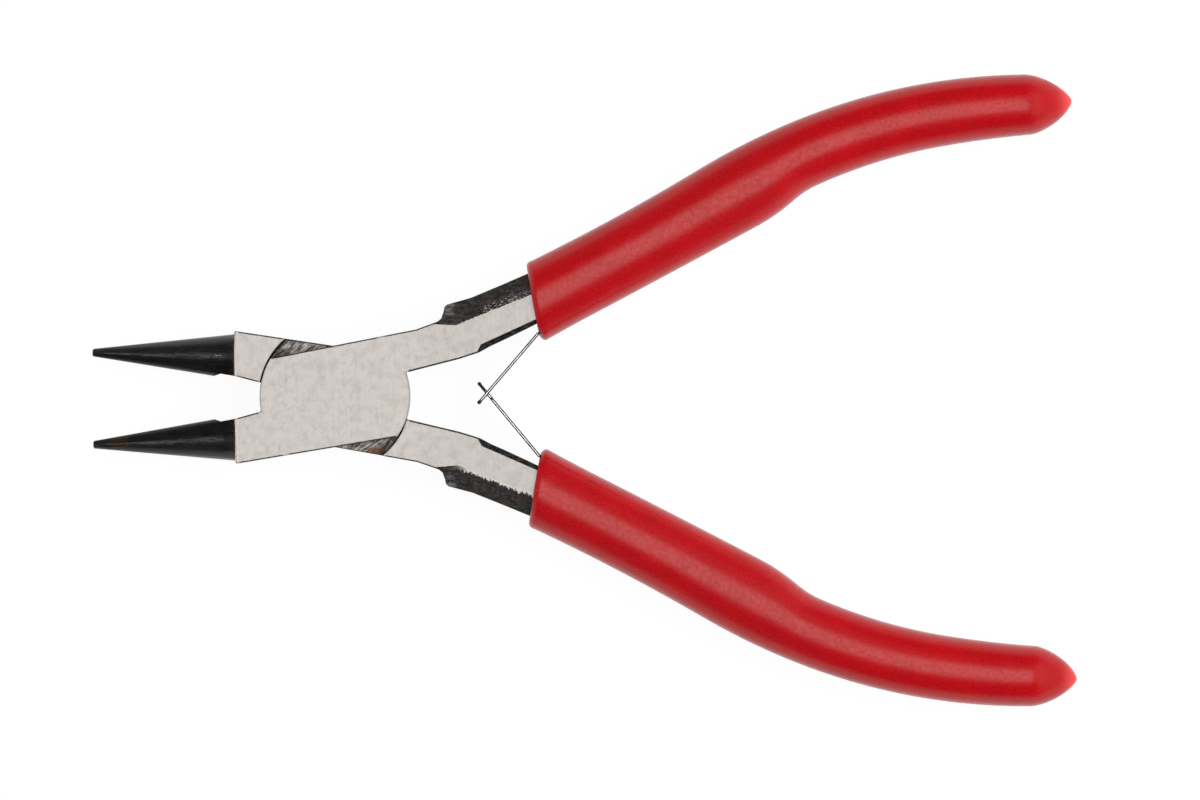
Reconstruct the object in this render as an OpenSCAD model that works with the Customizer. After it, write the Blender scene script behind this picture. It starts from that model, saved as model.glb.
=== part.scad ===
// Round nose pliers: two identical forgings lapped and riveted, one turned over, with
// PVC sleeves on the handles and two interlocking leaf springs that hold them open.
//
// Millimetres, +Z up. The tool lies flat on z = 0 with the rivet on the Z axis, jaws
// towards -X and handles towards +X, and it is drawn open, as the springs hold it.
// Each half is described closed, with the closing plane at y = 0 and its own handle at
// +Y; front_side() and rear_side() then turn it into its place.

/* [Joint] */
// Thickness over the two ground faces of the joint
joint_t = 9; // [8.6:0.1:9.6]
// Angle between the two halves as the springs hold them open
opening = 19.6; // [14:0.1:21]
// Radius of the round lap of each half
lap_r = 9.35; // [9.2:0.05:9.6]
// Width of the joint plate across the rivet
plate_w = 12.5; // [12:0.1:13]
// Angle that each long edge of the plate leans outwards towards the handle
plate_lean = 0.8; // [0.3:0.1:1.5]
// Gap between the two lap faces
lap_gap = 0.04; // [0.02:0.01:0.08]
// Gap between the edge of a lap and the shoulder that surrounds it
shoulder_gap = 0.12; // [0.1:0.01:0.2]
// Diameter of the rivet that both halves turn on
rivet_d = 5; // [4:0.1:6]
// Diameter of its two countersunk heads, ground flush with the faces
rivet_head_d = 6.8; // [6.2:0.1:8]
// Depth of each countersunk head
rivet_head_h = 1.2; // [0.8:0.1:1.6]
// Radial clearance between the rivet and the half that turns on it
rivet_clearance = 0.03; // [0.02:0.01:0.08]

/* [Jaws] */
// Reach from the rivet to the tips
jaw_reach = 30.85; // [28:0.05:33]
// Length of the round part of each jaw
jaw_len = 17.9; // [16:0.1:18.2]
// Diameter of a jaw at its tip
jaw_tip_d = 0.94; // [0.8:0.02:1.4]
// Diameter of a jaw at its root
jaw_root_d = 5.7; // [5.4:0.02:6]
// Gap left between the closed tips
jaw_gap = 0.1; // [0.08:0.01:0.2]
// Distance from the closing plane to the block behind the round jaw
throat_gap = 0.5; // [0.4:0.05:0.7]
// Distance that the block's inner edge rises from there to the joint
throat_rise = 0.3; // [0:0.05:0.35]
// Length of the relief ground on the inner side of the jaw's root
throat_len = 2.8; // [2:0.1:3.4]
// Chamfer on the edges of the block where the round jaw springs from it
shoulder_chamfer = 0.35; // [0.2:0.05:0.5]

/* [Handles] */
// Thickness that each face of the shank loses on its way to the sleeve
shank_drop = 1; // [0.8:0.05:1.2]
// Steepness of the forged bevels beside the ground strip on the shank
bevel_fall = 46; // [40:1:52]
// Thickness of the tang inside the sleeve
tang_t = 5.8; // [5:0.1:6.2]

/* [Sleeves] */
// Distance from the rivet to the mouth of the sleeves
sleeve_start = 26.45; // [26.2:0.05:26.8]
// Length of a sleeve, from its mouth to its nose
sleeve_len = 70.8; // [66:0.1:76]
// Thickness of the sleeves
sleeve_t = 9; // [8.8:0.1:9.6]
// Thickness that a sleeve loses towards its nose
sleeve_taper = 0.8; // [0:0.1:1]
// Wall between the tang and the side of the sleeve
sleeve_wall = 1.5; // [1.3:0.05:1.7]
// Rounding of the lip at the mouth
lip_r = 0.5; // [0.3:0.05:0.7]
// Distance that the end of the nose leans towards the closing plane
nose_lean = 0.5; // [0:0.1:1]
// Squareness of the sleeve's section, 2 for an ellipse
section_power = 2.4; // [2.2:0.1:3]

/* [Springs] */
// Thickness of the leaf springs
leaf_t = 0.38; // [0.3:0.02:0.44]
// Width of the leaf springs
leaf_w = 5; // [4.4:0.1:5.4]
// Distance from the rivet to the point where the two leaves cross, opened
cross_x = 19; // [18.8:0.1:19.3]
// Height of that point above the closing plane, towards the slotted leaf
cross_y = 0.25; // [-0.3:0.05:0.3]
// Width of the tongue that passes through the slotted leaf
tongue_w = 2.2; // [1.8:0.1:2.4]
// Gap on each side of the tongue in its slot
tongue_gap = 0.2; // [0.15:0.01:0.3]
// Length of the slot
slot_len = 1.6; // [1.55:0.05:1.8]
// Length that each leaf reaches past the end of the slot
leaf_over = 0.8; // [0.6:0.05:0.9]
// Diameter of the rolled end of each leaf
roll_d = 0.48; // [0.46:0.02:0.6]
// Diameter of the small rivet that holds the foot of a leaf
foot_rivet_d = 1.6; // [1.2:0.1:1.8]
// Diameter of its head
foot_head_d = 3; // [2.6:0.1:3.4]
// Thickness of its head
foot_head_h = 0.5; // [0.4:0.05:0.6]
// Length of its shank in the tang
foot_rivet_len = 2.4; // [1.8:0.1:3]

/* [Hidden] */
$fn = 96;

mid_z = joint_t / 2;
jaw_cant = asin((jaw_root_d - jaw_tip_d) / 2 / jaw_len);
tip = [-jaw_reach, -(jaw_tip_d + jaw_gap) / 2];
root = tip + jaw_len * [cos(jaw_cant), -sin(jaw_cant)];
shoulder_r = lap_r + shoulder_gap;

// Forged flank of the shank, from the end of the plate to the sleeve
flank = [[14.3, 6.9], [14.8, 7.2], [15.2, 7.9], [15.45, 8.55], [15.8, 8.8], [18.9, 9.1],
         [22.4, 9.87], [26.4, 10.8]];
// Inner side of the shank, from the sleeve back to the crotch of the handles
crotch = [[26.4, 4.45], [24.9, 4], [21.9, 3.17], [20.1, 2.7], [18.7, 2.22], [16, 1.85],
          [9, 1.35]];
// Corners of the ground strip beside the outer and the inner bevel
outer_strip = [[14.1, 6.6], [16.5, 6], [26.6, 8.05]];
inner_strip = [[18.4, 2.22], [19.1, 3.13], [26.4, 5]];
strip_start = 12;
tang_start = 29;
tang_end = sleeve_start + 0.9 * sleeve_len;

// Slopes of the sleeve's two edges, as [fraction of its length, slope] at each knot
outer_slopes = [[0, 0.28], [0.33, 0.38], [0.74, 0], [1, -0.24]];
inner_slopes = [[0, 0.36], [0.1, 0.317], [0.415, 0.33], [0.485, 0.6], [0.53, 0.25],
                [0.755, 0], [1, -0.14]];
outer_mouth = 12.11;
inner_mouth = 1.93;
nose_at = 0.92;

leaf_root = [26.35, 3.17];
seat_start = 34;
seat_end = 46;
foot_len = 8.5;

// Half width of the plate at x
function edge(x) = plate_w / 2 + x * tan(plate_lean);

// x of the flat shoulder behind the round jaw, at y
function shoulder_x(y) = root.x + (y - root.y) * tan(jaw_cant);

// Height of the upper ground face at x
function face_z(x) = joint_t
    - shank_drop * max(0, x - strip_start) / (tang_start - strip_start);

// Climb of an edge up to fraction u, its slope changing evenly between knots
function climb(knots, u, i = 0) =
    let (a = knots[i], b = knots[i + 1], du = min(u, b[0]) - a[0])
    a[1] * du + (b[1] - a[1]) * du * du / (2 * (b[0] - a[0]))
    + (u <= b[0] || i + 2 >= len(knots) ? 0 : climb(knots, u, i + 1));

function along(x) = min(nose_at, max(0, (x - sleeve_start) / sleeve_len));
function outer_y(x) = outer_mouth + sleeve_len * climb(outer_slopes, along(x));
function inner_y(x) = inner_mouth + sleeve_len * climb(inner_slopes, along(x));
function tang_inner_y(x) = inner_y(x) + sleeve_wall + leaf_t;

// How far into the nose fraction u of the sleeve lies, from 0 to 1
function into_nose(u) = max(0, (u - nose_at) / (1 - nose_at));
// Share of the full section that is left there
function nose(u) = pow(1 - pow(into_nose(u), 1.55), 0.68);
// Inset of the rounded lip at distance d from the mouth
function lip(d) = d >= lip_r ? 0 : lip_r - sqrt(lip_r * lip_r - (lip_r - d) * (lip_r - d));

function power(v, e) = sign(v) * pow(abs(v), e);

// Ring of points round the sleeve at fraction u
function ring(u, sides) =
    let (x = sleeve_start + u * sleeve_len, d = u * sleeve_len,
         half_w = ((outer_y(x) - inner_y(x)) / 2 - lip(d)) * nose(u),
         half_t = ((sleeve_t - sleeve_taper * u) / 2 - lip(d)) * nose(u),
         y = (outer_y(x) + inner_y(x)) / 2 - nose_lean * pow(into_nose(u), 1.5))
    [for (i = [0:sides - 1]) let (a = 360 * (i + 0.5) / sides)
        [x, y + half_w * power(cos(a), 2 / section_power),
         sleeve_t / 2 + half_t * power(sin(a), 2 / section_power)]];

// Outline of a strip of thickness t that follows three points
function bent_strip(a, b, c, t) =
    let (u = (b - a) / norm(b - a), v = (c - b) / norm(c - b),
         w = (u + v) / norm(u + v), m = t / 2 / (u * w),
         nu = [-u.y, u.x] * t / 2, nv = [-v.y, v.x] * t / 2, nw = [-w.y, w.x] * m)
    [a + nu, b + nw, c + nv, c - nv, b - nw, a - nu];

// Foot of a leaf, from its root to its seat on the tang and along it
seat = [seat_start, tang_inner_y(seat_start)];
seat_dir = [seat_end, tang_inner_y(seat_end)] - seat;
seat_u = seat_dir / norm(seat_dir);
seat_n = [seat_u.y, -seat_u.x];
foot_bend = seat + seat_n * leaf_t / 2;
foot_tail = foot_bend + seat_u * foot_len;
foot_u = (foot_bend - leaf_root) / norm(foot_bend - leaf_root);
foot_head = leaf_root + foot_u * (leaf_t / 2 + 0.05);
rivet_at = foot_bend + seat_u * foot_len / 2;

// Free blade of a leaf, from its root to where the leaves cross; side is 1 for the slotted
// leaf and -1 for the tongued one
leaf_r = norm(leaf_root);
leaf_open = atan2(leaf_root.y, leaf_root.x) + opening / 2;
root_open = leaf_r * [cos(leaf_open), sin(leaf_open)];
function to_cross(side) = root_open - [cross_x, side * cross_y];
function cross_len(side) = norm(to_cross(side));
function blade_turn(side) = 180 + atan2(to_cross(side).y, to_cross(side).x) - opening / 2;
function slot_start(side) = cross_len(side) - 0.56 * slot_len;

// Places a half with its handle at +Y, the upper lap
module front_side() { rotate([0, 0, opening / 2]) children(); }

// Places a half turned over, with its handle at -Y, the lower lap
module rear_side() { translate([0, 0, joint_t]) rotate([180, 0, 0]) front_side() children(); }

module both_faces() { children(); translate([0, 0, joint_t]) mirror([0, 0, 1]) children(); }

// Outline of one half: its lap, the jaw's block, the shank and the tang
module half_outline() {
    intersection() {
        circle(r = lap_r);
        polygon([for (s = [-1, 1]) for (e = [-s, s]) [20 * s, e * edge(20 * s)]]);
    }
    block = shoulder_x(-edge(root.x));
    polygon([[shoulder_x(-throat_gap), -throat_gap], [-lap_r, throat_rise - throat_gap], [0, 0],
             [0, -edge(0)], [block, -edge(block)]]);
    polygon(concat([[0, edge(0)], [11.5, edge(11.5)]], flank,
        [for (k = [0:10]) let (x = tang_start + k * (tang_end - tang_start) / 10)
            [x, outer_y(x) - sleeve_wall]],
        [for (k = [7:-1:0]) let (x = seat_end + k * (tang_end - seat_end) / 7)
            [x, tang_inner_y(x)]],
        [for (x = [seat_start, tang_start]) [x, tang_inner_y(x)]],
        crotch, [[0, 1]]));
}

// Side view of one half: ground faces, falling away along the shank, and the tang
module half_profile() {
    back = sleeve_start + sleeve_len;
    rotate([90, 0, 0]) linear_extrude(height = 2 * back, center = true)
        polygon([[-jaw_reach, 0], [strip_start, 0], [tang_start, joint_t - face_z(tang_start)],
                 [tang_start, mid_z - tang_t / 2], [back, mid_z - tang_t / 2],
                 [back, mid_z + tang_t / 2], [tang_start, mid_z + tang_t / 2],
                 [tang_start, face_z(tang_start)], [strip_start, joint_t],
                 [-jaw_reach, joint_t]]);
}

// Removes what lies left of the line a-b above a plane that falls away from the line
module bevel_cut(a, b) {
    dir = b - a;
    drop = atan2(face_z(a.x) - face_z(b.x), norm(dir));
    translate([a.x, a.y, face_z(a.x)]) rotate([0, 0, atan2(dir.y, dir.x)])
        rotate([0, drop, 0]) rotate([-bevel_fall, 0, 0])
        translate([-20, -0.5, 0]) cube([60, 12, 8]);
}

// Removes the edge between the upper face and the shoulder behind the round jaw
module chamfer_cut() {
    side = shoulder_chamfer * sqrt(2);
    translate([root.x, root.y, joint_t]) rotate([0, 0, -jaw_cant]) rotate([0, 45, 0])
        cube([side, 3 * jaw_root_d, side], center = true);
}

// The forging of one half, without its jaw and its bores
module half_blank() {
    difference() {
        intersection() {
            linear_extrude(height = joint_t) half_outline();
            half_profile();
        }
        translate([0, 0, -1]) cylinder(r = shoulder_r, h = mid_z + lap_gap / 2 + 1);
        both_faces() {
            intersection() {
                bevel_cut(outer_strip[0], outer_strip[1]);
                bevel_cut(outer_strip[1], outer_strip[2]);
            }
            intersection() {
                bevel_cut(inner_strip[1], inner_strip[0]);
                bevel_cut(inner_strip[2], inner_strip[1]);
            }
            chamfer_cut();
        }
    }
}

// Round jaw, tapering to its tip along the closing plane, relieved at its root
module jaw() {
    relief = shoulder_x(0) - throat_len;
    difference() {
        translate([tip.x, tip.y, mid_z]) rotate([0, 90, -jaw_cant])
            cylinder(r1 = jaw_tip_d / 2, r2 = jaw_root_d / 2, h = jaw_len + 0.01);
        translate([0, 0, -1]) linear_extrude(height = joint_t + 2)
            polygon([[relief, 0], [relief + 0.9, -throat_gap], [0, -throat_gap], [0, 1],
                     [relief, 1]]);
    }
}

// Places something along the axis of the small rivet, foot face at z = 0, tang above
module at_foot_rivet() {
    face = rivet_at + seat_n * leaf_t / 2;
    translate([face.x, face.y, mid_z])
        rotate([0, 0, atan2(seat_u.y, seat_u.x)]) rotate([-90, 0, 0]) children();
}

module half_forging(pivot_hole) {
    difference() {
        union() {
            half_blank();
            jaw();
        }
        translate([0, 0, -1]) cylinder(r = pivot_hole, h = joint_t + 2);
        translate([0, 0, joint_t - rivet_head_h])
            cylinder(r1 = pivot_hole, r2 = pivot_hole + (rivet_head_d - rivet_d) / 2,
                     h = rivet_head_h);
        at_foot_rivet() cylinder(d = foot_rivet_d, h = leaf_t + foot_rivet_len + 0.1, $fn = 48);
    }
}

module front_half() {
    color("silver") front_side() half_forging(rivet_d / 2);
}

module rear_half() {
    color("silver") rear_side() half_forging(rivet_d / 2 + rivet_clearance);
}

// Rivet with a countersunk head at each end, ground flush
module pivot_rivet() {
    color("silver") rotate_extrude() polygon([
        [0, 0], [rivet_head_d / 2, 0], [rivet_d / 2, rivet_head_h],
        [rivet_d / 2, joint_t - rivet_head_h], [rivet_head_d / 2, joint_t], [0, joint_t]]);
}

// PVC sleeve: a bar of rounded section from lip to nose, hollow where the tang sits
module grip() {
    sides = 32;
    stations = concat([for (d = [0, 0.03, 0.15, 0.45]) d * lip_r / sleeve_len],
        [for (i = [0:32]) lip_r / sleeve_len + i * (nose_at - lip_r / sleeve_len) / 32],
        [for (i = [1:7]) nose_at + (1 - nose_at) * sin(i * 12.2)]);
    rings = [for (u = stations) ring(u, sides)];
    last = (len(rings) - 1) * sides;
    difference() {
        polyhedron(points = [for (r = rings) each r], faces = concat(
            [[for (i = [0:sides - 1]) i]],
            [for (k = [0:sides:last - 1]) for (i = [0:sides - 1])
                let (j = (i + 1) % sides) each [[k + j, k + i, k + sides + i],
                                                [k + j, k + sides + i, k + sides + j]]],
            [[for (i = [sides - 1:-1:0]) last + i]]));
        half_blank();
        foot_space();
    }
}

// Space in the sleeve for the foot of a leaf and the head of its rivet
module foot_space() {
    translate([0, 0, mid_z - leaf_w / 2]) linear_extrude(height = leaf_w) {
        polygon(bent_strip(leaf_root - foot_u, foot_bend, foot_tail, leaf_t));
        polygon([leaf_root - foot_u, foot_bend, seat, [tang_start, tang_inner_y(tang_start)],
                 [tang_start - 4, 4]]);
    }
    at_foot_rivet() translate([0, 0, -foot_head_h]) cylinder(d = foot_head_d, h = 1, $fn = 48);
}

module upper_grip() { color("firebrick") front_side() grip(); }
module lower_grip() { color("firebrick") rear_side() grip(); }

// Part of a leaf that is fixed to the tang
module spring_foot() {
    difference() {
        translate([0, 0, mid_z - leaf_w / 2]) linear_extrude(height = leaf_w)
            polygon(bent_strip(foot_head, foot_bend, foot_tail, leaf_t));
        at_foot_rivet() translate([0, 0, -1]) cylinder(d = foot_rivet_d, h = 3, $fn = 48);
    }
}

// Part of a leaf that flexes, of full width up to the slot and end_w wide past it
module spring_blade(side, end_w) {
    full_len = slot_start(side) + (end_w < leaf_w ? 0 : slot_len);
    tip_at = slot_start(side) + slot_len + leaf_over;
    translate([leaf_root.x, leaf_root.y, mid_z]) rotate([0, 0, blade_turn(side)]) {
        translate([0, 0, -leaf_w / 2]) {
            cylinder(d = leaf_t, h = leaf_w, $fn = 32);
            translate([0, -leaf_t / 2, 0]) cube([full_len, leaf_t, leaf_w]);
        }
        translate([0, -leaf_t / 2, -end_w / 2]) cube([tip_at, leaf_t, end_w]);
        translate([tip_at, 0, -end_w / 2]) cylinder(d = roll_d, h = end_w, $fn = 32);
    }
}

// Window in the slotted leaf that the tongue passes through
module slot() {
    slot_w = tongue_w + 2 * tongue_gap;
    translate([leaf_root.x, leaf_root.y, mid_z]) rotate([0, 0, blade_turn(1)])
        translate([slot_start(1), -leaf_t, -slot_w / 2]) cube([slot_len, 2 * leaf_t, slot_w]);
}

module foot_rivet() {
    at_foot_rivet() {
        translate([0, 0, -foot_head_h]) cylinder(d = foot_head_d, h = foot_head_h, $fn = 48);
        cylinder(d = foot_rivet_d, h = leaf_t + foot_rivet_len, $fn = 48);
    }
}

module slotted_spring_foot() { color("gainsboro") front_side() spring_foot(); }
module tongued_spring_foot() { color("gainsboro") rear_side() spring_foot(); }

module slotted_spring_blade() {
    color("gainsboro") front_side() difference() {
        spring_blade(1, leaf_w);
        slot();
    }
}

module tongued_spring_blade() {
    color("gainsboro") rear_side() spring_blade(-1, tongue_w);
}

module upper_spring_rivet() { color("gainsboro") front_side() foot_rivet(); }
module lower_spring_rivet() { color("gainsboro") rear_side() foot_rivet(); }

front_half();
rear_half();
pivot_rivet();
upper_grip();
lower_grip();
slotted_spring_foot();
slotted_spring_blade();
upper_spring_rivet();
tongued_spring_foot();
tongued_spring_blade();
lower_spring_rivet();
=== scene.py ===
"""Dresses the round nose pliers: ground and forged steel, PVC sleeves, leaf springs.

Lengths in the formulas are millimetres, in the frame of one closed half: the rivet on the
Z axis, jaws along -X, the half's own handle at +Y. place() then turns a half into its
place in the open tool and converts to metres.
"""

import math

import bpy
import numpy as np
from mathutils import Matrix, Vector


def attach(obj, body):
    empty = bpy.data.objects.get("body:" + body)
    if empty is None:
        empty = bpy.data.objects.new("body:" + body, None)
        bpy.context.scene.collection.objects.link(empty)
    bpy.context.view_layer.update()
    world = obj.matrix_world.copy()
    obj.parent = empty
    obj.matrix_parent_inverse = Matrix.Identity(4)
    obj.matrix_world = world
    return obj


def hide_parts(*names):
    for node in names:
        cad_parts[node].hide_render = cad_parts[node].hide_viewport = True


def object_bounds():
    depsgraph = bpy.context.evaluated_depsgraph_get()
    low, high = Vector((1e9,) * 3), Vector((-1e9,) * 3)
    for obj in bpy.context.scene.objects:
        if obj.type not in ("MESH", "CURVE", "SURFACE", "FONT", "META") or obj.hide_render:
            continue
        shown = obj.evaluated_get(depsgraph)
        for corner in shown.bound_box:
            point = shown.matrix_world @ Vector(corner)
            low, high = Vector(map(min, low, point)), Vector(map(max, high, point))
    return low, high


bl_info = {
    "name": "Round Nose Pliers",
    "version": (1, 0, 0),
    "blender": (4, 5, 0),
    "location": "3D View > Sidebar > Pliers",
    "description": "Dresses a pair of round nose pliers and sets up its studio",
    "category": "Object",
}

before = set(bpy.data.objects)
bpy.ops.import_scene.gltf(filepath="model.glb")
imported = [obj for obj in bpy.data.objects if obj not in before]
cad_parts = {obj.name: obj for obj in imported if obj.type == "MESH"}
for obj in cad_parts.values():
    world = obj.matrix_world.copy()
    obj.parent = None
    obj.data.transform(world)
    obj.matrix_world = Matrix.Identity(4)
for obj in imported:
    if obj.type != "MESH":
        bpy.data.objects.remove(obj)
CAD_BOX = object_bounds()
MM = 0.001


# ---------------------------------------------------------------- sizes and colours


class PliersSizes(bpy.types.PropertyGroup):
    """Sizes of the pieces that the scene makes itself"""

    thickness: bpy.props.FloatProperty(
        name="Thickness", description="Thickness of the joint and of the sleeves",
        default=CAD_BOX[1].z - CAD_BOX[0].z, unit="LENGTH", subtype="DISTANCE")
    opening: bpy.props.FloatProperty(
        name="Opening", description="Angle between the two open halves",
        default=math.radians(19.6), unit="ROTATION", subtype="ANGLE")
    sleeve_start: bpy.props.FloatProperty(
        name="Sleeve start", description="Distance from the rivet to the sleeve's mouth",
        default=26.45 * MM, unit="LENGTH", subtype="DISTANCE")
    sleeve_length: bpy.props.FloatProperty(
        name="Sleeve length", description="Length of a sleeve from its mouth to its nose",
        default=70.8 * MM, unit="LENGTH", subtype="DISTANCE")
    lip: bpy.props.FloatProperty(
        name="Lip", description="Depth of the rounded lip at the sleeve's mouth",
        default=0.8 * MM, unit="LENGTH", subtype="DISTANCE")
    edge: bpy.props.FloatProperty(
        name="Worn edge", description="Width of the softened edges of the steel",
        default=0.2 * MM, unit="LENGTH", subtype="DISTANCE")
    strip_edge: bpy.props.FloatProperty(
        name="Strip edge", description="Width of the rounded edges of the leaf springs",
        default=0.175 * MM, unit="LENGTH", subtype="DISTANCE")


class PliersColours(bpy.types.PropertyGroup):
    """Base colours of the finishes"""

    ground: bpy.props.FloatVectorProperty(
        name="Ground steel", description="Colour of the cross-ground faces",
        default=(0.56, 0.525, 0.497), subtype="COLOR", size=3, min=0, max=1)
    skin: bpy.props.FloatVectorProperty(
        name="Forged skin", description="Colour of the black forged skin",
        default=(0.011, 0.0105, 0.0105), subtype="COLOR", size=3, min=0, max=1)
    sleeve: bpy.props.FloatVectorProperty(
        name="Sleeve", description="Colour of the PVC sleeves",
        default=(0.505, 0.001, 0.006), subtype="COLOR", size=3, min=0, max=1)
    nose: bpy.props.FloatVectorProperty(
        name="Sleeve nose", description="Lighter colour of the solid PVC nose",
        default=(0.9, 0.045, 0.046), subtype="COLOR", size=3, min=0, max=1)
    spring: bpy.props.FloatVectorProperty(
        name="Spring steel", description="Colour of the leaf springs",
        default=(0.85, 0.83, 0.8), subtype="COLOR", size=3, min=0, max=1)


# ------------------------------------------------------------------------ surfaces

OUTER_SLOPES = ((0, 0.28), (0.33, 0.38), (0.74, 0), (1, -0.24))
INNER_SLOPES = ((0, 0.36), (0.1, 0.317), (0.415, 0.33), (0.485, 0.6), (0.53, 0.25),
                (0.755, 0), (1, -0.14))
OUTER_MOUTH, INNER_MOUTH, NOSE_AT, NOSE_LEAN = 12.11, 1.93, 0.92, 0.5
# Power of a sleeve's sections, its loss of half thickness, and the gap round the shank
SECTION_POWER, TAPER, BORE_GAP = 2.4, 0.4, 0.1
# Corners of the shank's section at the mouth, as (y, height above the middle plane)
SHANK_SECTION = ((10.85, 0.8), (8.05, 3.66), (5, 3.66), (4.44, 3.05))


def climb(knots, u):
    """Climb of an edge up to fraction u of the sleeve.

    The slope runs straight from knot to knot, and the climb is its running integral.
    """
    fine = np.linspace(0, 1, 4001)
    slope = np.interp(fine, *np.array(knots).T)
    steps = (slope[1:] + slope[:-1]) / 2 * np.diff(fine)
    return np.interp(u, fine, np.concatenate([[0], np.cumsum(steps)]))


def superellipse(a, b, angle, power):
    """Radius at an angle of the curve |x/a|^power + |y/b|^power = 1."""
    return (np.abs(np.cos(angle) / a) ** power + np.abs(np.sin(angle) / b) ** power) ** (
        -1 / power)


def convex_radius(corners, angle):
    """Radius at an angle of a convex polygon round the origin.

    It is the least, over the sides, of the side's distance from the origin divided by
    the cosine between the angle and the side's normal.
    """
    a = np.array(corners)
    side = np.roll(a, -1, 0) - a
    normal = np.stack([side[:, 1], -side[:, 0]], 1) / np.linalg.norm(side, axis=1)[:, None]
    reach = np.sum(normal * a, 1)
    facing = normal @ np.stack([np.cos(angle), np.sin(angle)])
    return np.min(np.where(facing > 1e-6, reach[:, None] / np.maximum(facing, 1e-6), 1e9), 0)


def sleeve_rows(sizes, sides=128):
    """Rings of points of one sleeve, from its nose over the lip to the hidden inner end.

    Each ring is a superellipse between the sleeve's two edges. In the nose its radius
    falls as (1 - s^1.55)^0.68 and its middle leans inwards by 0.5 s^1.5, s being the
    fraction of the nose. At the mouth the radius swings on half an ellipse from the
    outside to the bore, which keeps a small gap round the shank, and the inner end
    closes on the axis.
    """
    start, length = sizes.sleeve_start / MM, sizes.sleeve_length / MM
    half, lip = sizes.thickness / MM / 2, sizes.lip / MM
    angle = np.linspace(0, 2 * np.pi, sides, endpoint=False)
    nose = NOSE_AT + (1 - NOSE_AT) * np.sin(np.linspace(0.5, 0.03, 14) * np.pi)
    body = np.linspace(NOSE_AT, lip / length, 120)
    u = np.concatenate([nose[1:], body])[:, None]
    held = np.minimum(u, NOSE_AT)
    outer = OUTER_MOUTH + length * climb(OUTER_SLOPES, held)
    inner = INNER_MOUTH + length * climb(INNER_SLOPES, held)
    s = np.clip((u - NOSE_AT) / (1 - NOSE_AT), 0, 1)
    shrink = (1 - s ** 1.55) ** 0.68
    radius = superellipse((outer - inner) / 2 * shrink, (half - TAPER * u) * shrink, angle,
                          SECTION_POWER)
    centre = (outer + inner) / 2 - NOSE_LEAN * s ** 1.5
    x = np.broadcast_to(start + u * length, radius.shape)

    corners = [(y - centre[-1, 0], z) for y, z in SHANK_SECTION]
    corners += [(y, -z) for y, z in reversed(corners)]
    bore = convex_radius(corners, angle) + BORE_GAP
    turn = np.linspace(0, np.pi, 15)[1:, None]
    lip_radius = (radius[-1] + bore) / 2 + (radius[-1] - bore) / 2 * np.cos(turn)
    lip_x = start + lip - lip * np.sin(turn) + 0 * lip_radius
    wall = np.linspace(0.5, 2.5, 4)[:, None]
    radius = np.concatenate([radius, lip_radius, bore + 0 * wall])
    x = np.concatenate([x, lip_x, start + lip + wall + 0 * bore])
    centre = np.concatenate([centre, np.full((len(turn) + len(wall), 1), centre[-1, 0])])
    rows = np.stack([x, centre + radius * np.cos(angle), half + radius * np.sin(angle)], 2)
    tip_y = centre[0, 0] - 0.1 * NOSE_LEAN
    poles = [(start + length, tip_y, half), (x[-1, 0], centre[-1, 0], half)]
    return rows, np.array(poles)


def place(points, rear, sizes):
    """Turns points of a closed half into the open tool, in metres.

    The front half turns by half the opening about the rivet. The rear half is the same,
    turned over about the tool's long axis.
    """
    turn = sizes.opening / 2
    x, y, z = np.moveaxis(points, -1, 0)
    out = np.stack([x * np.cos(turn) - y * np.sin(turn), x * np.sin(turn) + y * np.cos(turn),
                    z], -1)
    if rear:
        out = out * (1, -1, -1) + (0, 0, sizes.thickness / MM)
    return out * MM


def closed_surface(name, rows, poles):
    """Mesh object of a ring grid closed by a pole at each end, faces outwards.

    Ring r and side i join ring r+1 and side i+1, the sides wrapping round.
    """
    count, sides = rows.shape[:2]
    r, i = np.meshgrid(np.arange(count - 1), np.arange(sides), indexing="ij")
    j = (i + 1) % sides
    quads = np.stack([r * sides + i, (r + 1) * sides + i, (r + 1) * sides + j, r * sides + j],
                     -1).reshape(-1, 4)
    side = np.arange(sides)
    first, last = count * sides, count * sides + 1
    fans = [np.stack([np.full(sides, first), side, (side + 1) % sides], 1),
            np.stack([np.full(sides, last), (count - 1) * sides + (side + 1) % sides,
                      (count - 1) * sides + side], 1)]
    points = np.concatenate([rows.reshape(-1, 3), poles])
    mesh = bpy.data.meshes.new(name)
    mesh.from_pydata(points.tolist(), [], quads.tolist() + np.concatenate(fans).tolist())
    a, b, c = (points[quads[:, k]] for k in range(3))
    if np.sum(np.einsum("ij,ij->i", a, np.cross(b, c))) < 0:
        mesh.flip_normals()
    mesh.polygons.foreach_set("use_smooth", np.ones(len(mesh.polygons), bool))
    along = np.concatenate([np.repeat(np.arange(count), sides), [0, count - 1]])
    value = mesh.attributes.new("from_nose", "FLOAT", "POINT")
    reach = np.linalg.norm(points - poles[0], axis=1) / MM
    value.data.foreach_set("value", reach.astype(np.float32))
    uv = mesh.uv_layers.new(name="UVMap")
    loops = np.empty(len(mesh.loops), np.int32)
    mesh.loops.foreach_get("vertex_index", loops)
    around = np.concatenate([np.tile(np.arange(sides) / sides, count), [0, 0]])
    uv.data.foreach_set("uv", np.stack([along[loops] / count, around[loops]], 1).ravel())
    mesh.update()
    piece = bpy.data.objects.new(name, mesh)
    bpy.context.collection.objects.link(piece)
    return piece


# ----------------------------------------------------------------------- materials

# Places on the open tool, in millimetres: the rims of the laps, the heads of the rivet,
# the shoulders behind the jaws, the crossing of the leaf springs, and the stretch along a
# shank over which its outer face falls
RIM_RADIUS, HEAD_RADIUS, SHOULDER_X, CROSSING_X = 9.42, 3.6, -11.5, 18.9
SHANK_START, SHANK_END, SHANK_DROP = 12, 29, 1

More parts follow.
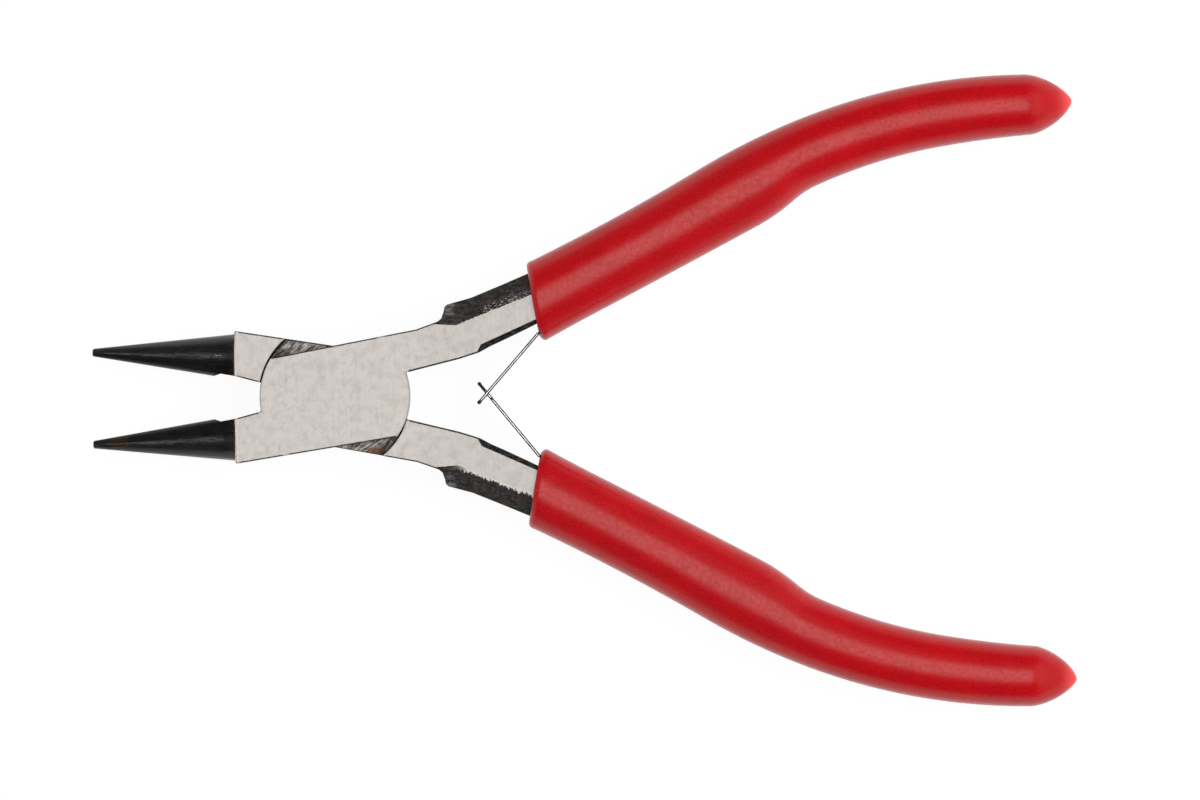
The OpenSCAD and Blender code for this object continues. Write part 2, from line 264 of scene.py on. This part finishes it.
# Colours of wear and heat on the steel and of the lap floors, which grow darker towards their
# rims; a painted highlight on the ends of the flanks; painted shade on the spring edges, in
# the same dark colour as the spring ends past the crossing
RUST, HEAT_SPOT, LAP_RIM_DARK = (0.045, 0.023, 0.016), (0.17, 0.08, 0.037), (0.03, 0.024, 0.021)
LAP_SHADE, LAP_STROKE = (0.045, 0.038, 0.034), (0.54, 0.5, 0.455)
BARE_FLECK, FLANK_END_HIGHLIGHT = (0.5, 0.47, 0.44), (0.2, 0.19, 0.185)
DARK_ENDS_AND_EDGE_SHADE = (0.008, 0.0075, 0.0075)


def shade(colour, factor):
    """A colour times one number, or times one number for each channel, held to 1."""
    factors = factor if isinstance(factor, tuple) else (factor,) * 3
    return tuple(min(1, c * f) for c, f in zip(colour, factors))


class Shader:
    """The node tree of a material or world, with short calls to add and join nodes."""

    def __init__(self, owner, output="ShaderNodeOutputMaterial"):
        self.owner = owner
        owner.use_nodes = True
        self.tree = owner.node_tree
        self.tree.nodes.clear()
        self.out = self.add(output)

    def add(self, kind, inputs=(), **settings):
        """Adds a node; inputs maps a socket's name or number to a value or a socket."""
        node = self.tree.nodes.new(kind)
        for key, value in settings.items():
            setattr(node, key, value)
        for key, value in dict(inputs).items():
            if isinstance(value, bpy.types.NodeSocket):
                self.tree.links.new(value, node.inputs[key])
            else:
                node.inputs[key].default_value = value
        return node

    def math(self, operation, a, b=0.0, clamp=False):
        return self.add("ShaderNodeMath", {0: a, 1: b}, operation=operation,
                        use_clamp=clamp).outputs[0]

    def product(self, *factors):
        result = factors[0]
        for factor in factors[1:]:
            result = self.math("MULTIPLY", result, factor)
        return result

    def ramp(self, value, low, high, to_low=0.0, to_high=1.0, kind="SMOOTHSTEP"):
        """A value between low and high, brought to another range."""
        return self.add("ShaderNodeMapRange", {"Value": value, "From Min": low,
                        "From Max": high, "To Min": to_low, "To Max": to_high},
                        interpolation_type=kind).outputs[0]

    def noise(self, vector, scale, detail=4.0, roughness=0.55):
        return self.add("ShaderNodeTexNoise", {"Vector": vector, "Scale": scale,
                        "Detail": detail, "Roughness": roughness}).outputs["Fac"]

    def stretch(self, vector, scale, turn=0.0):
        """The vector scaled along axes turned about Z, which draws a pattern into streaks."""
        return self.add("ShaderNodeMapping", {"Vector": vector, "Rotation": (0, 0, turn),
                        "Scale": tuple(1 / c for c in scale)}, vector_type="TEXTURE").outputs[0]

    def mix(self, factor, a, b):
        node = self.add("ShaderNodeMix", {0: factor}, data_type="RGBA")
        for key, value in ((6, a), (7, b)):
            if isinstance(value, bpy.types.NodeSocket):
                self.tree.links.new(value, node.inputs[key])
            else:
                node.inputs[key].default_value = (*value, 1) if len(value) == 3 else value
        return node.outputs[2]

    def grey(self, value):
        return self.add("ShaderNodeCombineColor", {0: value, 1: value, 2: value}).outputs[0]

    def blend(self, factor, a, b):
        """A value that goes from a to b as the factor rises."""
        return self.add("ShaderNodeMix", {0: factor, 2: a, 3: b}).outputs[0]

    def bump(self, height, strength, distance, normal=None):
        """Normal bent by a relief whose full height is a distance in millimetres."""
        node = self.add("ShaderNodeBump", {"Height": height, "Strength": strength,
                        "Distance": distance * MM})
        if normal:
            self.tree.links.new(normal, node.inputs["Normal"])
        return node.outputs[0]

    def millimetres(self):
        """The point of the tool being shaded, in millimetres."""
        at = self.add("ShaderNodeTexCoord").outputs["Object"]
        return self.add("ShaderNodeVectorMath", {0: at, "Scale": 1 / MM},
                        operation="SCALE").outputs[0]

    def parts(self, vector):
        return self.add("ShaderNodeSeparateXYZ", {0: vector}).outputs

    def near(self, value, middle, inside, outside):
        """1 within a distance of the middle value, falling to 0 at a greater one."""
        return self.ramp(self.math("ABSOLUTE", self.math("SUBTRACT", value, middle)),
                         outside, inside)

    def finish(self, shader):
        self.tree.links.new(shader.outputs[0], self.out.inputs["Surface"])
        return self.owner


def forging_zones(s, sizes):
    """Masks and distances that tell the zones of a forging apart.

    Ground is where the surface faces up or down near the outer faces, on the round rims
    of the joint and the free wall of the lap between the handles, on the chamfers behind
    the jaws, and over a ragged margin on the bevels of the shank. A fringe follows that
    margin on the lower shank. The lap floors lie at the middle plane. All else keeps the
    skin of the forging. Depth is the distance below the outer face.
    """
    at = s.millimetres()
    x, y, z = s.parts(at)
    facing = s.add("ShaderNodeNewGeometry").outputs["Normal"]
    nx, ny, nz = s.parts(facing)
    half, turn = sizes.thickness / MM / 2, sizes.opening / 2
    upward = s.math("ABSOLUTE", nz)
    from_middle = s.math("ABSOLUTE", s.math("SUBTRACT", z, half))
    radius = s.math("SQRT", s.math("ADD", s.math("MULTIPLY", x, x), s.math("MULTIPLY", y, y)))
    along = s.math("ADD", s.math("MULTIPLY", x, math.cos(turn)),
                   s.math("MULTIPLY", s.math("ABSOLUTE", y), math.sin(turn)))
    # Painted shade: the worn edges are too steep to count as level, so they keep the black skin
    # and draw dark outlines round the ground faces.
    level = s.math("MAXIMUM", s.ramp(upward, 0.955, 0.985),
                   s.ramp(radius, HEAD_RADIUS + 0.1, HEAD_RADIUS))
    faces = s.math("MULTIPLY", level, s.ramp(from_middle, 3.05, 3.2))
    outer_face = s.ramp(along, SHANK_START, SHANK_END, half, half - SHANK_DROP, "LINEAR")
    depth = s.math("SUBTRACT", outer_face, from_middle)
    free = s.ramp(x, 8.3, 8.6)
    rims = s.product(s.math("MAXIMUM", s.ramp(depth, 0.2, 0.15), free),
                     s.math("MAXIMUM", s.ramp(upward, 0.5, 0.8), free),
                     s.ramp(upward, 0.995, 0.97), s.near(radius, RIM_RADIUS, 0.28, 0.38))

    outward = s.ramp(s.math("MULTIPLY", y, ny), 0.3, 1.5)
    hairs = s.noise(s.stretch(at, (5, 0.7, 0.7)), 1.0, 4.0, 0.7)
    reach = s.product(s.math("SUBTRACT", hairs, 0.3), s.ramp(y, -1, 1, 1.8, 0.5))
    below = s.math("SUBTRACT", depth, reach)
    margin = s.product(s.ramp(below, 0.04, -0.04), s.ramp(upward, 0.5, 0.6), outward,
                       s.ramp(along, 15.5, 18))
    chamfer = s.product(s.ramp(nx, -0.25, -0.45), s.ramp(from_middle, 3.9, 4.0),
                        s.ramp(x, SHOULDER_X + 0.1, SHOULDER_X - 0.1))
    fringe = s.product(s.ramp(below, 0.9, 0.3), outward, s.ramp(along, 15.5, 16.5),
                       s.ramp(y, 1, -1))
    # Painted highlight: the chamfers and the ragged shank margin are painted lighter than the
    # other ground faces.
    bright = s.math("MAXIMUM", margin, chamfer)
    slanted = s.math("MAXIMUM", bright, rims)
    return {
        "at": at, "x": x, "y": y, "nz": nz, "upward": upward, "facing": facing,
        "radius": radius, "along": along, "depth": depth, "outward": outward,
        "bright": bright, "fringe": fringe, "slanted": slanted,
        "ground": s.math("MAXIMUM", faces, slanted),
        "floor": s.math("MULTIPLY", s.ramp(upward, 0.955, 0.985), s.ramp(from_middle, 0.3, 0.1)),
        "jaw": s.ramp(x, SHOULDER_X, SHOULDER_X - 0.3),
        "inward": s.ramp(s.math("MULTIPLY", y, ny), 0, -1),
    }


def ground_steel(s, zone, ground):
    """Colour of the ground faces, and their cross-grinding lines alone and with bands, with a
    painted highlight on the chamfers and the shank margin.
    """
    lines = s.noise(s.stretch(zone["at"], (4, 0.2, 0.2)), 1.0, 3.0)
    bands = s.noise(s.stretch(zone["at"], (1.5, 0.09, 0.09)), 1.0, 2.0)
    tone = s.math("ADD", s.math("MULTIPLY", lines, 0.7), s.math("MULTIPLY", bands, 0.3))
    colour = s.mix(s.ramp(tone, 0.35, 0.65), shade(ground, 0.92), shade(ground, 1.1))
    cloud = s.noise(zone["at"], 0.9, 4.0, 0.7)
    colour = s.mix(s.ramp(cloud, 0.4, 0.65, 0, 0.8), colour,
                   shade(ground, (0.84, 0.81, 0.79)))
    # Painted highlight on the chamfers and the shank margin, 1.45 times the ground colour.
    colour = s.mix(zone["bright"], colour, shade(ground, 1.45))
    return colour, lines, tone


def forged_skin(s, zone, skin):
    """Colour of the black skin, streaked along the jaws with a painted highlight on their tops,
    and mottled brown and flecked on the shanks with a painted highlight on the flank ends,
    with its grain and the jaws' streaks."""
    grain = s.noise(zone["at"], 2.6, 6.0, 0.65)
    streaks = s.noise(s.stretch(zone["at"], (0.4, 4, 4)), 1.0, 4.0, 0.6)
    scale = s.noise(s.stretch(zone["at"], (0.9, 2.2, 1.5)), 1.0, 4.0, 0.7)
    shank = s.mix(s.ramp(s.math("MULTIPLY", grain, scale), 0.18, 0.36),
                  shade(skin, 0.5), shade(skin, (6.4, 5.8, 5.4)))
    jaw = s.mix(s.ramp(streaks, 0.35, 0.75), skin, shade(skin, 1.8))
    # Painted highlight along the top of each jaw, broken into streaks.
    jaw_top_highlight = s.math("MULTIPLY", s.ramp(zone["upward"], 0.965, 0.998), s.ramp(streaks, 0.35, 0.6))
    jaw = s.mix(jaw_top_highlight, jaw, shade(skin, 6))
    colour = s.mix(zone["jaw"], shank, jaw)

    tip = s.math("MULTIPLY", s.near(zone["x"], -27, 0.9, 1.5), s.ramp(zone["y"], -2, -3))
    root = s.math("MULTIPLY", s.ramp(zone["x"], -15, -12.5), s.ramp(zone["x"], -11, -11.5))
    flank = s.math("MULTIPLY", s.ramp(zone["x"], 10, 14), zone["outward"])
    patches = s.math("MAXIMUM", s.math("MAXIMUM", tip, root),
                     s.math("MAXIMUM", s.math("MULTIPLY", flank, 0.75), zone["fringe"]))
    rust = s.math("MULTIPLY", s.noise(zone["at"], 0.6, 3.0), patches)
    colour = s.mix(s.ramp(rust, 0.35, 0.55, 0, 0.8), colour, RUST)

    flecks = s.ramp(s.noise(s.stretch(zone["at"], (2.4, 5, 4)), 1.0, 3.0, 0.6), 0.55, 0.6)
    beside = s.product(s.ramp(zone["depth"], 1.4, 0.6), zone["outward"],
                       s.ramp(zone["along"], 19, 21), s.ramp(zone["y"], -1, 1))
    scuff = s.product(s.near(zone["x"], -14.9, 0.7, 1.0), s.ramp(zone["y"], 3, 4),
                      s.ramp(zone["upward"], 0.985, 0.995))
    colour = s.mix(s.math("MULTIPLY", flecks, s.math("MAXIMUM", beside, scuff)), colour,
                   BARE_FLECK)
    # Painted highlight on the rounded end of each outer flank, in patches.
    end = s.product(s.near(zone["x"], 14.4, 0.2, 0.9), zone["outward"],
                    s.ramp(zone["depth"], 1.0, 1.6), s.ramp(scale, 0.4, 0.6))
    return s.mix(end, colour, FLANK_END_HIGHLIGHT), grain, streaks


def lap_floor(s, zone):
    """Dark lap floors with light diagonal strokes, darker towards the round shoulders."""
    strokes = s.noise(s.stretch(zone["at"], (1, 5, 1), 0.7), 1.0, 5.0, 0.6)
    colour = s.mix(s.ramp(strokes, 0.38, 0.66), LAP_SHADE, LAP_STROKE)
    spot = s.math("MULTIPLY", s.near(zone["x"], 5, 0.8, 1.4), s.ramp(zone["y"], -6.2, -6.6))
    colour = s.mix(s.math("MULTIPLY", spot, 0.8), colour, HEAT_SPOT)
    # Darker towards the rims of the laps, in patches.
    lap_rim_dark = s.math("MULTIPLY", s.ramp(zone["radius"], 7.6, 9.2, 0, 0.75),
                  s.ramp(s.noise(zone["at"], 0.9, 2.0), 0.3, 0.6))
    return s.mix(lap_rim_dark, colour, LAP_RIM_DARK)


def forging_steel(colours, sizes):
    """Cross-ground faces over black forged skin, and dark scored lap floors."""
    s = Shader(bpy.data.materials.new("forging_steel"))
    zone = forging_zones(s, sizes)
    ground, floor = zone["ground"], zone["floor"]
    ground_colour, lines, tone = ground_steel(s, zone, colours.ground)
    skin_colour, grain, streaks = forged_skin(s, zone, colours.skin)
    colour = s.mix(ground, s.mix(floor, skin_colour, lap_floor(s, zone)), ground_colour)

    skin_rough = s.blend(zone["jaw"], s.ramp(grain, 0.3, 0.7, 0.4, 0.6),
                         s.ramp(streaks, 0.3, 0.7, 0.22, 0.34))
    gloss = s.blend(s.math("MULTIPLY", zone["outward"], s.ramp(zone["x"], 9, 11)), 0.5, 0.2)
    gloss = s.math("SUBTRACT", gloss, s.math("MULTIPLY", zone["inward"], 0.4), clamp=True)
    rough = s.blend(ground, s.blend(floor, skin_rough, 0.42), s.ramp(tone, 0.3, 0.7, 0.37, 0.43))
    pits = s.noise(zone["at"], 1.5, 5.0, 0.6)
    relief = s.blend(ground, s.blend(zone["jaw"], pits, s.math("MULTIPLY", streaks, 0.5)),
                     s.math("MULTIPLY", lines, 0.12))
    upright = s.add("ShaderNodeCombineXYZ", {"Z": s.math("SIGN", zone["nz"])}).outputs[0]
    normal = s.add("ShaderNodeMix", {0: s.math("MULTIPLY", zone["slanted"], 0.85),
                                     4: zone["facing"], 5: upright},
                   data_type="VECTOR").outputs[1]
    return s.finish(s.add("ShaderNodeBsdfPrincipled", {
        "Base Color": colour, "Roughness": rough, "Specular IOR Level": gloss,
        "Metallic": s.blend(ground, s.ramp(floor, 0, 1, 0.2, 1.0), 0.65),
        "Normal": s.bump(relief, 0.35, 0.12, normal)}))


def sleeve_pvc(colours):
    """Satin dipped PVC: an orange peel, a fine grain in its gloss, faint mottling, and a
    lighter solid nose."""
    s = Shader(bpy.data.materials.new("sleeve_pvc"))
    at = s.millimetres()
    from_nose = s.add("ShaderNodeAttribute", attribute_name="from_nose").outputs["Fac"]
    peel = s.noise(at, 1.7, 2.0, 0.5)
    mottle = s.noise(at, 0.26, 4.0, 0.6)
    grain = s.noise(at, 3.0, 3.0, 0.7)
    body = s.mix(s.ramp(mottle, 0.35, 0.7), colours.sleeve, shade(colours.sleeve, 1.12))
    wander = s.math("ADD", from_nose, s.math("MULTIPLY", mottle, 1.2))
    colour = s.mix(s.ramp(wander, 1.4, 4.2, 1, 0), body, colours.nose)
    return s.finish(s.add("ShaderNodeBsdfPrincipled", {
        "Base Color": colour, "Roughness": s.ramp(grain, 0.35, 0.65, 0.2, 0.38),
        "Specular IOR Level": 0.42, "Specular Tint": (1, 0.96, 0.9, 1),
        "Normal": s.bump(peel, 0.08, 0.08)}))


def spring_strip(colours):
    """Bright rolled strip with fine lines along its width, painted shade on its rounded edges,
    and ends dark past the point where the two leaves cross."""
    s = Shader(bpy.data.materials.new("spring_strip"))
    at = s.millimetres()
    x, y = s.parts(at)[:2]
    lines = s.noise(s.stretch(at, (0.7, 0.7, 5.2)), 1.0, 3.0)
    nx, _, nz = s.parts(s.add("ShaderNodeNewGeometry").outputs["Normal"])
    upward = s.math("ABSOLUTE", nz)
    lean = s.math("ADD", upward, s.ramp(nx, -0.02, 0.02, 0, 0.02))
    # Painted shade on the rounded edges, which take the dark colour and lose their metal.
    edge = s.math("MULTIPLY", s.ramp(upward, 0.02, 0.1), s.ramp(lean, 0.9995, 0.99))
    past = s.ramp(x, CROSSING_X, CROSSING_X - 0.2)
    tongue = s.math("MULTIPLY", s.ramp(y, 0, 0.2), past)
    slotted = s.math("MULTIPLY", s.ramp(y, -0.55, -0.7), past)
    # The dark mask joins the painted edge shade with the dark ends past the crossing.
    dark = s.math("MAXIMUM", edge, s.math("MAXIMUM", tongue, slotted))
    bright = s.mix(s.ramp(lines, 0.3, 0.7), shade(colours.spring, 0.85), colours.spring)
    return s.finish(s.add("ShaderNodeBsdfPrincipled", {
        "Base Color": s.mix(dark, bright, DARK_ENDS_AND_EDGE_SHADE), "Metallic": s.ramp(dark, 0, 1, 1, 0),
        "Roughness": s.ramp(lines, 0.3, 0.7, 0.25, 0.4), "Specular IOR Level": 0.25,
        "Normal": s.bump(lines, 0.1, 0.03)}))


def paper_floor():
    """White paper that lights the tool from below and shows only a breath of shadow."""
    s = Shader(bpy.data.materials.new("paper_floor"))
    path = s.add("ShaderNodeLightPath").outputs
    seen = s.math("MAXIMUM", s.math("MAXIMUM", path["Is Camera Ray"], path["Is Glossy Ray"]),
                  path["Is Transmission Ray"])
    diffuse = s.add("ShaderNodeBsdfDiffuse", {"Color": (0.88, 0.88, 0.88, 1)}).outputs[0]
    white = s.add("ShaderNodeEmission", {"Color": (1, 1, 1, 1), "Strength": 1.05}).outputs[0]
    return s.finish(s.add("ShaderNodeMixShader", {0: s.math("MULTIPLY", seen, 0.9),
                                                  1: diffuse, 2: white}))


def studio_sky():
    """A soft box overhead, a bright horizon, and grey panels beyond both ends of the tool."""
    s = Shader(bpy.data.worlds.new("studio_sky"), "ShaderNodeOutputWorld")
    x, _, z = s.parts(s.add("ShaderNodeTexCoord").outputs["Generated"])
    level = s.math("ADD", s.ramp(z, 0.955, 0.992, 0.1, 3.4), s.ramp(z, 0, 0.3, 0.9, 0))
    panels = s.product(s.ramp(s.math("ABSOLUTE", x), 0.4, 0.55), s.ramp(z, 0, 0.1), 0.45)
    seen = s.add("ShaderNodeLightPath").outputs["Is Camera Ray"]
    return s.finish(s.add("ShaderNodeBackground", {
        "Color": s.mix(seen, s.grey(s.math("ADD", level, panels)), (1, 1, 1))}))


def wear_edges(piece, width, corner=55.0):
    """Joins a solid's loose faces, clears the lines inside its flat faces, and rounds
    every edge sharper than the corner angle."""
    piece.modifiers.new("join", "WELD").merge_threshold = 1e-6
    flats = piece.modifiers.new("clear_flats", "DECIMATE")
    flats.decimate_type, flats.angle_limit = "DISSOLVE", math.radians(0.4)
    edge = piece.modifiers.new("worn_edge", "BEVEL")
    edge.width, edge.segments, edge.use_clamp_overlap = width, 2, False
    edge.limit_method, edge.angle_limit = "ANGLE", math.radians(corner)
    edge.harden_normals = True


def dress(piece, material):
    """Gives a piece one material in every slot."""
    piece.data.materials.clear()
    piece.data.materials.append(material)


def finish_of(build, *arguments):
    """The material that a finish function builds, made once and kept by its name."""
    return bpy.data.materials.get(build.__name__) or build(*arguments)


# ----------------------------------------------------------------------- operators


class PLIERS_OT_forgings(bpy.types.Operator):
    """Dress the two forgings and their rivet in ground and forged steel"""

    bl_idname = "pliers.forgings"
    bl_label = "Forgings"

    def execute(self, context):
        sizes, colours = context.scene.pliers_sizes, context.scene.pliers_colours
        steel = finish_of(forging_steel, colours, sizes)
        for name in ("front_half", "rear_half", "pivot_rivet"):
            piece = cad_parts[name]
            dress(piece, steel)
            if name != "pivot_rivet":
                wear_edges(piece, sizes.edge)
        return {"FINISHED"}


class PLIERS_OT_sleeves(bpy.types.Operator):
    """Make the two PVC sleeves"""

    bl_idname = "pliers.sleeves"
    bl_label = "Sleeves"

    def execute(self, context):
        sizes, colours = context.scene.pliers_sizes, context.scene.pliers_colours
        rows, poles = sleeve_rows(sizes)
        for name, node, body, rear in (("upper_sleeve", "upper_grip", "front_half", False),
                                       ("lower_sleeve", "lower_grip", "rear_half", True)):
            piece = closed_surface(name, place(rows, rear, sizes), place(poles, rear, sizes))
            dress(piece, finish_of(sleeve_pvc, colours))
            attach(piece, body)
            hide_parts(node)
        return {"FINISHED"}


class PLIERS_OT_springs(bpy.types.Operator):
    """Dress the leaf springs and the small rivets that hold them"""

    bl_idname = "pliers.springs"
    bl_label = "Leaf springs"

    def execute(self, context):
        sizes = context.scene.pliers_sizes
        strip = finish_of(spring_strip, context.scene.pliers_colours)
        for name in ("slotted_spring_foot", "slotted_spring_blade", "tongued_spring_foot",
                     "tongued_spring_blade", "upper_spring_rivet", "lower_spring_rivet"):
            dress(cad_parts[name], strip)
            wear_edges(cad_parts[name], sizes.strip_edge)
        return {"FINISHED"}


class PLIERS_OT_studio(bpy.types.Operator):
    """Set up the white floor, the light and the camera above the tool"""

    bl_idname = "pliers.studio"
    bl_label = "Studio"

    def execute(self, context):
        scene = context.scene
        scene.view_settings.view_transform = "Standard"
        mesh = bpy.data.meshes.new("studio_floor")
        reach = 4.0
        mesh.from_pydata([(-reach, -reach, 0), (reach, -reach, 0), (reach, reach, 0),
                          (-reach, reach, 0)], [], [(0, 1, 2, 3)])
        floor = bpy.data.objects.new("studio_floor", mesh)
        context.collection.objects.link(floor)
        dress(floor, finish_of(paper_floor))
        scene.world = studio_sky()
        self.lamp(context)
        self.camera(context)
        return {"FINISHED"}

    def lamp(self, context):
        """One broad lamp beyond the handles lights the inner sides of the sleeves."""
        data = bpy.data.lights.new("soft_box", "AREA")
        data.shape, data.energy = "RECTANGLE", 1.5
        data.size, data.size_y = 0.5, 0.35
        lamp = bpy.data.objects.new("soft_box", data)
        lamp.visible_glossy = False
        context.collection.objects.link(lamp)
        lamp.location = (0.32, 0.06, 0.42)
        aim = Vector((0.04, 0, 0)) - lamp.location
        lamp.rotation_euler = aim.to_track_quat("-Z", "Y").to_euler()

    def camera(self, context):
        """Straight above the tool with a very long lens, rolled by half a degree."""
        data = bpy.data.cameras.new("camera")
        data.lens, data.sensor_width = 400.0, 36.0
        camera = bpy.data.objects.new("camera", data)
        context.collection.objects.link(camera)
        width = 0.15
        middle = Vector((0.03311, -0.00073, 0.0055))
        distance = data.lens / data.sensor_width * width
        camera.location = middle + Vector((0, 0, distance))
        camera.rotation_euler = Matrix.Rotation(math.radians(-0.51), 4, "Z").to_euler()
        data.clip_start, data.clip_end = 0.05, 20.0
        context.scene.camera = camera


class PLIERS_PT_panel(bpy.types.Panel):
    """Sidebar panel that lists the pieces and their sizes and colours"""

    bl_idname = "PLIERS_PT_panel"
    bl_label = "Round Nose Pliers"
    bl_space_type = "VIEW_3D"
    bl_region_type = "UI"
    bl_category = "Pliers"

    def draw(self, context):
        layout = self.layout
        for operator in OPERATORS:
            layout.operator(operator.bl_idname)
        for group in (context.scene.pliers_sizes, context.scene.pliers_colours):
            box = layout.box()
            for name in group.bl_rna.properties.keys():
                if name not in ("name", "rna_type"):
                    box.prop(group, name)


OPERATORS = (PLIERS_OT_forgings, PLIERS_OT_sleeves, PLIERS_OT_springs, PLIERS_OT_studio)
CLASSES = (PliersSizes, PliersColours, *OPERATORS, PLIERS_PT_panel)


def register():
    for cls in CLASSES:
        bpy.utils.register_class(cls)
    bpy.types.Scene.pliers_sizes = bpy.props.PointerProperty(type=PliersSizes)
    bpy.types.Scene.pliers_colours = bpy.props.PointerProperty(type=PliersColours)


def unregister():
    del bpy.types.Scene.pliers_sizes
    del bpy.types.Scene.pliers_colours
    for cls in reversed(CLASSES):
        bpy.utils.unregister_class(cls)


def main():
    register()
    bpy.ops.pliers.forgings()
    bpy.ops.pliers.sleeves()
    bpy.ops.pliers.springs()
    bpy.ops.pliers.studio()


if __name__ == "__main__":
    main()
